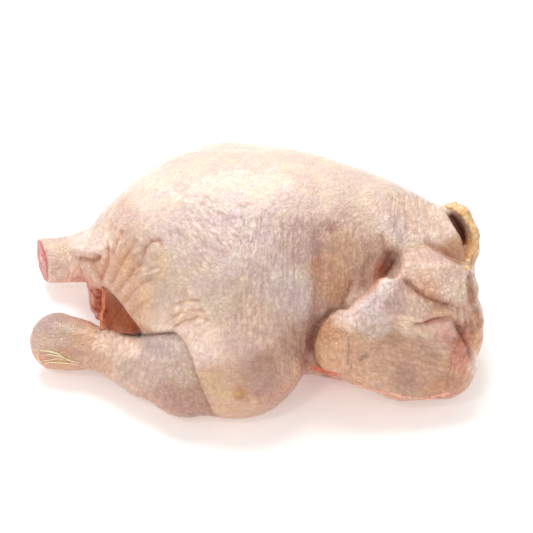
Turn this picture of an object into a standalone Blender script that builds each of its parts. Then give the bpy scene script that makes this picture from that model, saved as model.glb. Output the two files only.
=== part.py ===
"""A whole raw chicken, plucked, drawn and without neck, head and feet.

It lies on its breast with the back up. -X is the tail end, where both drumsticks reach out over the
floor, and +X is the neck end. The near side is -Y. The origin is on the floor, below the middle.

The bird is one solid. Its muscles are ellipsoids and its limbs are chains of round stations. Their
rounded union is soft where flesh runs into flesh and has a tight crease where skin only touches
skin. The skin is the surface where the distance from that union is nought. Lengths are in
millimetres until the mesh is finished.
"""

import math
from collections import namedtuple

import bmesh
import bpy
import numpy as np
from mathutils import Euler, Matrix

MM = 0.001

NODE = "chicken"
SKIN_COLOUR = (0.85, 0.66, 0.57, 1.0)
SKIN_ROUGHNESS = 0.42

# The space that holds the bird, and how fine its mesh is.
SPACE_LOW = (-148, -108, -6)
SPACE_HIGH = (144, 108, 130)
GRID_STEP = 2.0
VOXEL = 2.2
SETTLE_ROUNDS = 4
LAST_SLIDES = 3
SLOPE_STEP = 0.05
LEAST_SLOPE = 0.2
MOST_TRIANGLES = 11400

# How softly flesh runs into flesh, and how tightly skin meets skin.
FLESH = 16.0
JOINT = 8.0
RIM = 3.6
CREASE = 2.4

NEAR = -1
FAR = 1

Muscle = namedtuple("Muscle", "centre radii turn")
Station = namedtuple("Station", "place radius")


def on_side(muscle, side):
    """The same muscle on the near side, where it is given, or across the spine."""
    x, y, z = muscle.centre
    tip, pitch, yaw = muscle.turn
    return Muscle((x, -side * y, z), muscle.radii, (-side * tip, pitch, -side * yaw))


def wing_place(place, side):
    x, y, z = place
    return (x, -side * y, z * SLUMP[side])


def wing_muscle(muscle, side):
    x, y, z = wing_place(muscle.centre, side)
    tip, pitch, yaw = muscle.turn
    width, depth, height = muscle.radii
    return Muscle((x, y, z), (width, depth, height * SLUMP[side]), (-side * tip, pitch, -side * yaw))


def wing_limb(stations, side):
    return [Station(wing_place(s.place, side), s.radius) for s in stations]


# The trunk, from the tail to the neck.
RUMP = Muscle((-19, 0, 65), (68, 60, 54), (0, 0, 0))
BACK = Muscle((36, 0, 64), (76, 48, 48.5), (0, 11, 0))
LOIN = Muscle((19, 0, 71), (40, 50, 43), (0, 9, 0))
TAIL_ROOT = Muscle((-67, 3, 60.5), (28, 35, 25.5), (0, -12, 0))
TAIL = [Station((-76, 0, 50), 14), Station((-88, 1, 34), 9), Station((-92.5, 1, 21.5), 7.5)]
BELLY = Muscle((-46, -2, 7), (37, 40, 20), (0, 0, 0))
THIGH = Muscle((-14, -38, 52), (56, 43, 51), (0, 0, -6))
KNEE = Muscle((-11, -60, 32), (38, 37, 37), (0, -12, 0))
BREAST = Muscle((64, -24, 29), (68, 40, 33), (0, 0, 4))
NECK = [Station((66, 0, 62), 32), Station((92, -1, 63), 25), Station((104, -3, 63), 23)]
NECK_FAT = [
    Station((112, 9, 83.5), 4.2),
    Station((118, 2, 83.5), 5),
    Station((122.5, -5, 75.5), 5),
    Station((123, -9, 67), 5),
    Station((119.5, -14.5, 58), 5.2),
]
NECK_SLIT = [
    Station((110.5, 3, 85.5), 2.2),
    Station((113.5, -1, 83), 3.2),
    Station((117.5, -8, 79), 4),
    Station((119.5, -12, 74.5), 4),
    Station((119.8, -16, 69.5), 3.2),
    Station((118, -19, 65), 2.2),
]
NECK_HOLLOW = Muscle((114, -2, 74), (6, 9, 10), (0, -17, 0))

# The legs, from the hock to the knee. The far hock is cut off square.
NEAR_DRUMSTICK = [
    Station((-114.5, -33, 19.3), 16.8),
    Station((-103, -37, 20), 14.3),
    Station((-88, -44, 22), 11.8),
    Station((-62, -60, 21.8), 16.6),
    Station((-39, -70, 24), 23),
    Station((-14, -68, 25), 22),
]
FAR_DRUMSTICK = [
    Station((-139, 47, 20.5), 15),
    Station((-120, 47, 21), 13.8),
    Station((-104, 49, 24), 14),
    Station((-72, 58, 28), 19.5),
    Station((-39, 66, 25), 22.5),
    Station((-14, 66, 25), 22),
]
FAR_HOCK_END = (-134, 47, 21)
FAR_HOCK_AXIS = (-0.93, -0.36, 0.05)
FAR_LEG_ROOT = [Station((-82, 4, 53), 18), Station((-91, 24, 40.5), 17), Station((-104, 44, 25), 14.5)]

# A wing, folded: the upper arm hangs from the shoulder, the forearm lies on the floor.
SHOULDER = Muscle((84, -26, 68), (22, 18, 20), (0, 0, 0))
UPPER_ARM = Muscle((100, -44, 62), (24, 20, 25), (12, 0, 0))
WING_WEB = Muscle((82, -52, 50), (28, 10, 25), (25, 0, 0))
WING_EDGE = [
    Station((80, -47, 80), 6),
    Station((72, -54, 72.5), 6),
    Station((64, -58, 64), 6.5),
    Station((53, -62, 54), 8.5),
    Station((48, -65, 43), 15.5),
]
FOREARM = [
    Station((48, -65, 43), 15.5),
    Station((62, -65, 34), 17.5),
    Station((82, -62, 26), 20.5),
    Station((105, -59, 23), 19.5),
]
HAND = Muscle((121, -36, 30), (9, 15, 24), (0, 0, 0))
ARMPIT = Muscle((74.5, -43, 79), (5, 11, 10), (0, 25, 0))
SKIN_BRIDGE = (88, -34, 80)
BRIDGE_REACH = 12.0

# The far wing has sunk lower than the near one.
SLUMP = {NEAR: 1.0, FAR: 0.72}

# The opening under the tail, cut when the bird was drawn: the hollow on its near side, and the wall
# of skin that hangs from the tail behind it.
VENT = Muscle((-84, -26, 13), (46, 44, 33), (0, 0, 0))
VENT_HOLLOW = Muscle((-56, -14, 34), (30, 14, 10.5), (0, 0, 0))
VENT_WALL = Muscle((-67, -4, 26), (26, 7, 60), (0, 0, 0))


def turned(degrees):
    return Euler([math.radians(angle) for angle in degrees]).to_matrix()


def from_muscle(points, muscle):
    """Distance from the muscle's surface, negative inside."""
    local = (points - np.array(muscle.centre)) @ np.array(turned(muscle.turn))
    radii = np.array(muscle.radii, float)
    near = np.linalg.norm(local / radii, axis=1)
    slope = np.linalg.norm(local / radii**2, axis=1)
    return near * (near - 1.0) / np.maximum(slope, 1e-9)


def from_limb(points, stations, softness=3.0):
    """Distance from a chain of stations, each joined to the next by a cone."""
    whole = None
    for first, second in zip(stations, stations[1:]):
        start = np.array(first.place, float)
        along = np.array(second.place, float) - start
        share = np.clip((points - start) @ along / (along @ along), 0.0, 1.0)
        radius = first.radius + (second.radius - first.radius) * share
        gap = np.linalg.norm(points - start - share[:, None] * along, axis=1) - radius
        whole = gap if whole is None else joined(whole, gap, softness)
    return whole


def joined(one, other, softness):
    """Union of two distances, rounded where they meet."""
    share = np.clip(0.5 + 0.5 * (other - one) / softness, 0.0, 1.0)
    return other + (one - other) * share - softness * share * (1.0 - share)


def cut(whole, cutter, softness):
    """What is left of a distance when another is taken from it, with a rounded rim."""
    return -joined(-whole, cutter, softness)


def trunk(points):
    whole = joined(from_muscle(points, RUMP), from_muscle(points, BACK), FLESH)
    whole = joined(whole, from_muscle(points, LOIN), FLESH)
    whole = joined(whole, from_muscle(points, TAIL_ROOT), FLESH)
    for side in (NEAR, FAR):
        for muscle in (THIGH, KNEE):
            whole = joined(whole, from_muscle(points, on_side(muscle, side)), FLESH)
        whole = joined(whole, from_muscle(points, wing_muscle(SHOULDER, side)), FLESH)
        whole = joined(whole, from_muscle(points, on_side(BREAST, side)), JOINT)
    whole = joined(whole, from_limb(points, NECK), FLESH)
    whole = joined(whole, from_limb(points, NECK_FAT), CREASE)
    whole = cut(whole, from_limb(points, NECK_SLIT), CREASE)
    whole = cut(whole, from_muscle(points, NECK_HOLLOW), CREASE)
    whole = cut(whole, from_muscle(points, VENT), JOINT)
    whole = joined(whole, from_muscle(points, BELLY), JOINT)
    whole = cut(whole, from_muscle(points, VENT_HOLLOW), CREASE)
    whole = joined(whole, from_muscle(points, VENT_WALL), CREASE)
    whole = joined(whole, from_limb(points, FAR_LEG_ROOT), FLESH)
    return joined(whole, from_limb(points, TAIL), JOINT)


def wing(points, side):
    whole = None
    for muscle in (UPPER_ARM, WING_WEB, HAND):
        part = from_muscle(points, wing_muscle(muscle, side))
        whole = part if whole is None else joined(whole, part, JOINT)
    whole = joined(whole, from_limb(points, wing_limb(WING_EDGE, side)), JOINT)
    return joined(whole, from_limb(points, wing_limb(FOREARM, side)), CREASE)


def far_leg(points):
    """The far drumstick, square at the hock where the foot was cut off."""
    past_end = (points - np.array(FAR_HOCK_END)) @ np.array(FAR_HOCK_AXIS)
    return cut(from_limb(points, FAR_DRUMSTICK), -past_end, CREASE)


def bird(points):
    """Distance from the skin of the whole bird, which stands on the floor."""
    whole = trunk(points)
    for side in (NEAR, FAR):
        bridge = np.array(wing_place(SKIN_BRIDGE, side))
        near_bridge = np.exp(-(((points - bridge) ** 2).sum(1)) / BRIDGE_REACH**2)
        whole = joined(whole, wing(points, side), CREASE + (JOINT - CREASE) * near_bridge)
        whole = cut(whole, from_muscle(points, wing_muscle(ARMPIT, side)), RIM)
    whole = joined(whole, from_limb(points, NEAR_DRUMSTICK), CREASE)
    whole = joined(whole, far_leg(points), JOINT)
    return cut(whole, points[:, 2], RIM)


def sampled():
    """The bird's distance at each point of an even grid."""
    axes = [np.arange(low, high, GRID_STEP) for low, high in zip(SPACE_LOW, SPACE_HIGH)]
    grid = np.stack(np.meshgrid(*axes, indexing="ij"), axis=-1)
    return bird(grid.reshape(-1, 3)).reshape(grid.shape[:3])


def rough_skin(distance):
    """Corners and faces round the inside of the bird: a corner in each grid cell the skin crosses."""
    inside = distance < 0
    low, high = slice(None, -1), slice(1, None)
    corners = [inside[i, j, k] for i in (low, high) for j in (low, high) for k in (low, high)]
    crossed = np.any(corners, axis=0) & ~np.all(corners, axis=0)
    number = np.cumsum(crossed).reshape(crossed.shape) - 1
    places = np.array(SPACE_LOW) + (np.argwhere(crossed) + 0.5) * GRID_STEP

    faces = []
    for axis in range(3):
        order = (axis, (axis + 1) % 3, (axis + 2) % 3)
        solid, cells = inside.transpose(order), number.transpose(order)
        here, there = solid[:-1, 1:-1, 1:-1], solid[1:, 1:-1, 1:-1]
        around = [cells[:, low, low], cells[:, high, low], cells[:, high, high], cells[:, low, high]]
        ring = np.stack(around, axis=-1)
        faces += [ring[here & ~there], ring[there & ~here][:, ::-1]]
    return places, np.concatenate(faces)


def settle(mesh):
    """Moves each point of the skin onto the bird's rounded form, evening the mesh as it goes."""
    for _ in range(SETTLE_ROUNDS):
        bmesh.ops.smooth_vert(
            mesh, verts=mesh.verts, factor=0.5, use_axis_x=True, use_axis_y=True, use_axis_z=True
        )
        slide(mesh)
    for _ in range(LAST_SLIDES):
        slide(mesh)


def slide(mesh):
    """One step towards the form, no longer than a voxel."""
    points = np.array([v.co for v in mesh.verts], float)
    distance = bird(points)
    steps = np.eye(3) * SLOPE_STEP
    slope = np.stack([bird(points + step) - distance for step in steps], axis=1) / SLOPE_STEP
    steepness = np.maximum((slope**2).sum(1), LEAST_SLOPE)
    move = -slope * (distance / steepness)[:, None]
    length = np.linalg.norm(move, axis=1)
    move *= np.minimum(1.0, VOXEL / np.maximum(length, 1e-9))[:, None]
    for vert, place in zip(mesh.verts, points + move):
        vert.co = place


def skin_material():
    material = bpy.data.materials.new("skin")
    material.use_nodes = True
    shader = material.node_tree.nodes["Principled BSDF"]
    shader.inputs["Base Color"].default_value = SKIN_COLOUR
    shader.inputs["Roughness"].default_value = SKIN_ROUGHNESS
    shader.inputs["Metallic"].default_value = 0.0
    return material


def applied(obj, kind, **settings):
    """The object's mesh after one modifier of this kind."""
    modifier = obj.modifiers.new(kind.lower(), kind)
    for name, value in settings.items():
        setattr(modifier, name, value)
    graph = bpy.context.evaluated_depsgraph_get()
    made = bpy.data.meshes.new_from_object(obj.evaluated_get(graph))
    obj.modifiers.clear()
    obj.data = made


def to_middle_of_floor(mesh):
    """The move that centres the mesh's box over the origin, on the floor."""
    places = np.array([v.co for v in mesh.vertices])
    low, high = places.min(0), places.max(0)
    middle = (low + high) / 2
    return Matrix.Translation((-middle[0], -middle[1], -low[2]))


def main():
    for obj in list(bpy.data.objects):
        bpy.data.objects.remove(obj)

    places, faces = rough_skin(sampled())
    mesh = bpy.data.meshes.new(NODE)
    mesh.from_pydata(places.tolist(), [], faces.tolist())
    chicken = bpy.data.objects.new(NODE, mesh)
    bpy.context.scene.collection.objects.link(chicken)
    applied(chicken, "REMESH", mode="VOXEL", voxel_size=VOXEL)

    skin = bmesh.new()
    skin.from_mesh(chicken.data)
    settle(skin)
    bmesh.ops.triangulate(skin, faces=skin.faces)
    count = len(skin.faces)
    skin.to_mesh(chicken.data)
    skin.free()
    applied(chicken, "DECIMATE", decimate_type="COLLAPSE", ratio=MOST_TRIANGLES / count)

    chicken.data.transform(Matrix.Scale(MM, 4) @ to_middle_of_floor(chicken.data))
    chicken.data.materials.clear()
    chicken.data.materials.append(skin_material())
    chicken.data.shade_smooth()
    return chicken


main()
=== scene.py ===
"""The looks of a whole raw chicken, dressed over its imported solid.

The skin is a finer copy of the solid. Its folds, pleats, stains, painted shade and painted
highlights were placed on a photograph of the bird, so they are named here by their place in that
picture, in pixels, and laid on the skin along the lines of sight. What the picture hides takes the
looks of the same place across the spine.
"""

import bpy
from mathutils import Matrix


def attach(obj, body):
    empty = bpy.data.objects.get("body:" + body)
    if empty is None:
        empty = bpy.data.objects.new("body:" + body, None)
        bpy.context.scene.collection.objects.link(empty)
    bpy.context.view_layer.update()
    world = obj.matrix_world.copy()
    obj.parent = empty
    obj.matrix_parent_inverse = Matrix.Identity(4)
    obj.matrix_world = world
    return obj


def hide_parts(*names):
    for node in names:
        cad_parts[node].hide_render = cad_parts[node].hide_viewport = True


bl_info = {
    "name": "Whole raw chicken",
    "version": (1, 0, 0),
    "blender": (4, 5, 0),
    "location": "3D View > Sidebar > Chicken",
    "description": "Skins a packed whole chicken and sets it on a pale floor",
    "category": "Add Mesh",
}

import math
import random

import bmesh
import bpy
import numpy as np
from bpy.props import FloatProperty, FloatVectorProperty, IntProperty, PointerProperty
from mathutils import Matrix, Vector, kdtree, noise
from mathutils.bvhtree import BVHTree

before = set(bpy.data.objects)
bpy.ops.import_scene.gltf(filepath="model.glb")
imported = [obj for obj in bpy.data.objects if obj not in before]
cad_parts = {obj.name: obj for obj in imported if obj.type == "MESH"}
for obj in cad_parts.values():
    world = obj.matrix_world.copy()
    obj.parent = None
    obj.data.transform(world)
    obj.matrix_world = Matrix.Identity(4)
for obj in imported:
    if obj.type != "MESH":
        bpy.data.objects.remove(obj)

BODY = "root"
NODE = "chicken"
MM = 0.001

# The photograph: its size and focal length in pixels, and where its camera looked from.
PHOTO_PIXELS = 533
PHOTO_FOCAL = 1538.5
PHOTO_TARGET = Vector((0.00942, 0.0, 0.049))
PHOTO_DISTANCE = 0.9
PHOTO_ELEVATION = 35.0
SENSOR_WIDTH = 36.0
PIXEL_MM = 1000 * PHOTO_DISTANCE / PHOTO_FOCAL

# The wing on the far side has sunk lower than the near one, by this share of its height.
FAR_WING_SLUMP = 0.72
WING_START_X = 0.042
WING_START_Y = 0.036

# Up to this far from a place that shows, in metres, the place across the spine is matched exactly.
SURE_GAP = 0.003
# Over this distance beyond the last place that shows, the looks turn over to those across the spine.
TURN_OVER = 0.024
# Skin that the line of sight meets at less than this cosine counts as hidden.
GRAZING = 0.04
# Sight lines start this far off the skin, in metres, so that they don't meet it where they begin.
OFF_SKIN = 0.0006
# Skin whose looks are less certain than this many millimetres is evened out, this many times.
UNSURE_MM = 1.0
SOOTHING_ROUNDS = 30
# Wrinkles fade out between these distances from certain looks, folds between these heights above the
# floor, both in millimetres.
WRINKLE_FADE = (2.0, 5.0)
FLOOR_FADE = (0.5, 4.0)


# name: (kind, width in pixels, height in millimetres, path in the picture). A lip_left is a step that
# stands up on the left of its path.
FOLDS = {
    "thigh over drumstick": ("lip_left", 11, 1.7, [(146, 336), (160, 334), (176, 333), (185, 342),
                             (191, 355), (197, 375), (203, 390), (212, 410), (222, 421)]),
    "vent lip": ("ridge", 4, 0.9, [(106, 284), (118, 297), (129, 312), (143, 324), (157, 330), (176, 330)]),
    "flank arc 1": ("groove", 2.0, 1.0, [(104, 284), (109, 262), (117, 242), (129, 221)]),
    "flank arc 2": ("groove", 2.0, 1.1, [(109, 288), (118, 268), (128, 251), (139, 236)]),
    "flank arc 3": ("groove", 2.0, 1.0, [(115, 296), (126, 279), (135, 268), (146, 262)]),
    "flank arc 4": ("groove", 2.0, 0.9, [(122, 307), (132, 292), (143, 282), (156, 277)]),
    "flank arc 5": ("groove", 1.8, 0.8, [(131, 317), (141, 304), (153, 296)]),
    "leaf fold": ("groove", 2.0, 1.5, [(141, 260), (145, 248), (151, 241), (159, 240), (161, 250)]),
    "knee fan 1": ("groove", 1.9, 1.1, [(165, 312), (174, 304), (190, 300), (204, 301)]),
    "knee fan 2": ("groove", 1.9, 1.1, [(167, 321), (178, 313), (193, 309), (208, 311)]),
    "knee fan 3": ("groove", 1.9, 1.1, [(173, 329), (184, 320), (198, 317), (212, 321)]),
    "far leg ridge": ("ridge", 3.0, 2.4, [(71, 255), (75, 250), (82, 251), (90, 254), (98, 252), (105, 245)]),
    "far leg trough": ("groove", 2.2, 2.0, [(74, 258), (84, 258), (94, 260), (102, 254)]),
    "far leg loop": ("ridge", 3.0, 1.8, [(72, 254), (70, 263), (74, 273), (82, 278)]),
    "far leg edge": ("groove", 2.2, 1.3, [(108, 244), (107, 258), (104, 270), (100, 283)]),
    "far leg welt": ("ridge", 2.6, 1.2, [(113, 243), (111, 256), (108, 268), (104, 281)]),
    "neck and wing": ("groove", 3.2, 1.6, [(424, 240), (435, 246), (445, 252), (455, 258), (464, 265)]),
    "shoulder web": ("ridge", 4.5, 1.6, [(399, 254), (395, 243), (391, 228), (389, 212)]),
    "web hollow": ("groove", 4.0, 1.2, [(386, 256), (385, 244), (382, 232)]),
    "upper arm edge": ("lip_left", 8, 2.5, [(401, 274), (412, 286), (425, 295), (437, 300), (450, 304),
                       (462, 309)]),
    "wing crease": ("groove", 2.6, 2.8, [(410, 328), (422, 327), (433, 322), (443, 320), (455, 319)]),
    "wing welt": ("ridge", 4.0, 1.3, [(412, 316), (425, 313), (438, 310), (452, 310)]),
    "wrist pocket": ("groove", 3.0, 2.0, [(454, 319), (460, 331), (466, 345), (471, 360)]),
    "hand wrinkle 1": ("groove", 1.5, 1.2, [(459, 303), (458, 313), (459, 322)]),
    "hand wrinkle 2": ("groove", 1.5, 1.2, [(464, 304), (465, 316), (466, 330)]),
    "hand wrinkle 3": ("groove", 1.5, 1.2, [(469, 308), (471, 320), (473, 336)]),
    "wing edge band": ("ridge", 5.0, 0.8, [(399, 267), (385, 280), (370, 296), (352, 313)]),
    "elbow tendon": ("ridge", 5.0, 1.1, [(344, 326), (357, 322), (372, 322), (390, 326)]),
    "side groove 1": ("groove", 2.2, 1.0, [(353, 279), (347, 294), (342, 307)]),
    "side welt 1": ("ridge", 4.0, 1.0, [(359, 276), (354, 292), (348, 306)]),
    "side groove 2": ("groove", 3.2, 1.2, [(367, 256), (364, 274), (366, 291)]),
    "elbow edge": ("lip_left", 9, 2.2, [(354, 309), (340, 311), (327, 319), (318, 332), (315, 346),
                   (318, 359), (327, 371), (338, 379)]),
    "waist": ("groove", 6.0, 1.5, [(317, 212), (318, 240), (320, 270), (319, 300), (316, 325), (309, 352),
              (302, 380)]),
    "shoulder blade": ("groove", 7.0, 0.9, [(311, 158), (320, 182), (321, 212)]),
    "hand edge": ("lip_left", 7, 1.6, [(472, 368), (469, 352), (463, 337), (457, 326)]),
    "back of the hand": ("groove", 2.2, 1.6, [(470, 268), (469, 284), (471, 300), (476, 316), (480, 330)]),
    "neck crease": ("groove", 2.5, 0.8, [(403, 200), (407, 216), (410, 232)]),
}

# name: (middle, radius in pixels, height in millimetres)
BULGES = {
    "armpit bulge": ((377, 258), 12, 1.5),
    "side hollow": ((332, 228), 8, -0.9),
    "side bump": ((327, 243), 7, 0.9),
    "leaf blister": ((154, 251), 8, 0.9),
    "flank blister": ((150, 276), 10, 0.6),
    "far leg fold": ((90, 266), 10, 0.9),
    "elbow knob": ((334, 345), 16, 0.9),
    "elbow dent": ((363, 358), 8, -0.9),
    "wing web hollow": ((402, 305), 13, -1.5),
    "pink muscle": ((455, 352), 13, 0.9),
    "hock knob": ((52, 330), 12, 0.8),
    "shin hollow": ((112, 348), 12, -0.6),
    "knee pad": ((205, 345), 14, 0.7),
}

# Wrinkles and rows of bumps that run one way, name: (the point they run from, nearest and furthest
# pixel, first and last direction in degrees clockwise from the right, how strong)
GRAINS = {
    "elbow": ((352, 334), (9, 50), (112, 268), 0.7),
    "knee": ((146, 350), (14, 78), (-66, -14), 0.9),
    "flank": ((95, 294), (10, 78), (-86, -8), 0.9),
    "far leg base": ((88, 218), (30, 72), (50, 132), 1.0),
    "drumstick": ((178, 170), (150, 250), (66, 118), 0.7),
    "shin": ((60, 120), (195, 262), (62, 92), 0.4),
    "neck": ((398, 90), (98, 158), (70, 98), 0.8),
    "thigh right": ((300, -420), (630, 800), (86, 95.5), 0.8),
    "waist": ((345, -300), (520, 640), (87, 95), 0.9),
    "shoulder streaks": ((60, 60), (195, 262), (40, 60), 0.8),
    "low thigh": ((90, 200), (170, 260), (42, 72), 0.6),
    "forearm": ((120, 270), (215, 350), (8, 28), 0.5),
    "upper arm": ((380, 180), (60, 130), (40, 85), 0.5),
    "hand": ((440, 420), (28, 120), (-84, -48), 0.8),
    "under the armpit": ((388, 225), (25, 100), (92, 140), 0.8),
}
# Pixels over which wrinkles fade in from the edge of their field, and the height of the pleats among
# them in millimetres.
GRAIN_FADE = 9.0
PLEAT_HEIGHT = 0.85

# Skin tones as paint, from pale to deep: red, green, blue.
TONES = {
    "white": (240, 230, 225),
    "peach": (245, 225, 210),
    "cream": (235, 215, 200),
    "lilac": (220, 205, 200),
    "fair": (225, 200, 185),
    "grey": (210, 190, 175),
    "mauve": (205, 180, 175),
    "tan": (215, 180, 155),
    "honey": (220, 180, 150),
    "salmon": (230, 170, 145),
    "deep honey": (205, 160, 125),
    "dusky": (190, 155, 140),
    "red": (215, 140, 110),
    "brown": (185, 135, 95),
}

# Each area of the skin: its tone, its middle in the picture, and how wide it spreads, in pixels. The dark
# areas by the floor and in the armpit are painted shade, and the wrist of the wing is made paler, partly as
# painted light.
TRUNK_AREAS = {
    "top of the back": ("cream", (250, 160), 35),
    "back before the waist": ("cream", (310, 175), 25),
    "between the shoulders": ("cream", (365, 190), 25),
    "neck": ("cream", (410, 205), 20),
    "side of the neck": ("peach", (440, 215), 15),
    "lip of the neck": ("deep honey", (455, 250), 8),
    "rump": ("peach", (150, 190), 25),
    "hip": ("fair", (120, 215), 20),
    "side of the back": ("cream", (200, 175), 30),
    "root of the far leg": ("peach", (105, 245), 12),
    "far leg": ("peach", (55, 255), 15),
    "side of the tail": ("honey", (90, 270), 10),
    "under the tail": ("red", (85, 280), 8),
    "flank by the tail": ("honey", (125, 265), 15),
    "flank by the vent": ("honey", (130, 295), 15),
    "flank": ("grey", (155, 255), 20),
    "lower flank": ("grey", (165, 285), 15),
    "top of the thigh": ("lilac", (200, 210), 20),
    "thigh": ("lilac", (245, 230), 30),
    "back of the thigh": ("lilac", (180, 235), 18),
    "thigh by the waist": ("lilac", (285, 290), 18),
    "middle of the thigh": ("grey", (225, 300), 20),
    "knee fold": ("peach", (190, 315), 15),
    "knee": ("peach", (205, 345), 15),
    "front of the thigh": ("fair", (250, 330), 22),
    # Painted shade: darker by the floor.
    "bottom of the thigh": ("dusky", (265, 370), 18),
    "under the knee": ("tan", (215, 385), 15),
    # Painted shade: darker by the floor.
    "knee on the floor": ("brown", (240, 395), 6),
    "tip of the knee": ("tan", (240, 412), 14),
    "waist": ("mauve", (300, 240), 18),
    # Painted shade: darker by the floor.
    "waist by the floor": ("dusky", (300, 345), 15),
    "thigh by the floor": ("tan", (290, 370), 12),
    "side dent": ("dusky", (332, 228), 5),
    "before the dent": ("tan", (340, 245), 12),
    "breast": ("honey", (325, 265), 12),
    "breast by the wing": ("honey", (335, 285), 10),
    "shoulder blade": ("fair", (355, 215), 16),
    # Painted shade in the armpit.
    "armpit": ("dusky", (378, 250), 10),
    "depth of the armpit": ("salmon", (385, 268), 6),
    "below the armpit": ("peach", (350, 295), 6),
    "shoulder": ("lilac", (395, 225), 12),
}

DRUMSTICK_AREAS = {
    "ankle": ("mauve", (50, 325), 12),
    "hock": ("fair", (45, 345), 10),
    "rim of the hock": ("salmon", (40, 360), 8),
    "under the hock": ("honey", (60, 360), 10),
    "shin by the hock": ("grey", (65, 330), 10),
    "top of the shin": ("tan", (85, 335), 12),
    "shin": ("fair", (105, 345), 12),
    "under the shin": ("tan", (95, 365), 12),
    "top of the calf": ("peach", (130, 345), 12),
    "calf by the slit": ("lilac", (160, 350), 18),
    "calf": ("grey", (160, 370), 15),
    "calf by the thigh": ("grey", (190, 370), 12),
    "side of the shin": ("grey", (130, 370), 12),
    # Painted shade: darker by the floor, here and in the next area.
    "under the calf": ("dusky", (165, 395), 12),
    "calf by the floor": ("dusky", (200, 400), 16),
}

WING_AREAS = {
    "shoulder joint": ("fair", (435, 270), 15),
    "root of the arm": ("fair", (410, 265), 10),
    "upper arm": ("honey", (425, 288), 10),
    "front of the upper arm": ("peach", (455, 285), 10),
    "leading edge": ("white", (385, 288), 6),
    "top of the elbow edge": ("white", (370, 305), 6),
    "web": ("mauve", (400, 305), 10),
    "web by the arm": ("fair", (415, 305), 9),
    "wrist edge": ("tan", (440, 312), 9),
    "top of the elbow": ("peach", (345, 318), 8),
    "back of the elbow": ("deep honey", (330, 335), 10),
    "elbow": ("honey", (325, 350), 10),
    "elbow by the forearm": ("honey", (348, 350), 10),
    "under the elbow": ("honey", (352, 380), 8),
    "sinew": ("white", (380, 328), 10),
    "top of the forearm": ("peach", (410, 328), 10),
    # Partly painted light: the pink muscle made paler where it faces up.
    "wrist": ("peach", (440, 340), 10),
    "forearm": ("tan", (390, 350), 18),
    "front of the forearm": ("tan", (430, 365), 12),
    "under the forearm": ("tan", (380, 378), 10),
    "middle of the forearm": ("dusky", (405, 375), 10),
    "pink of the hand": ("salmon", (460, 360), 8),
    "pink by the wrist": ("salmon", (465, 342), 7),
    "front of the hand": ("peach", (472, 362), 6),
    "tip of the hand": ("deep honey", (440, 388), 10),
    "behind the hand": ("tan", (462, 315), 6),
    "far edge of the wing": ("deep honey", (478, 300), 7),
}
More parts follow.
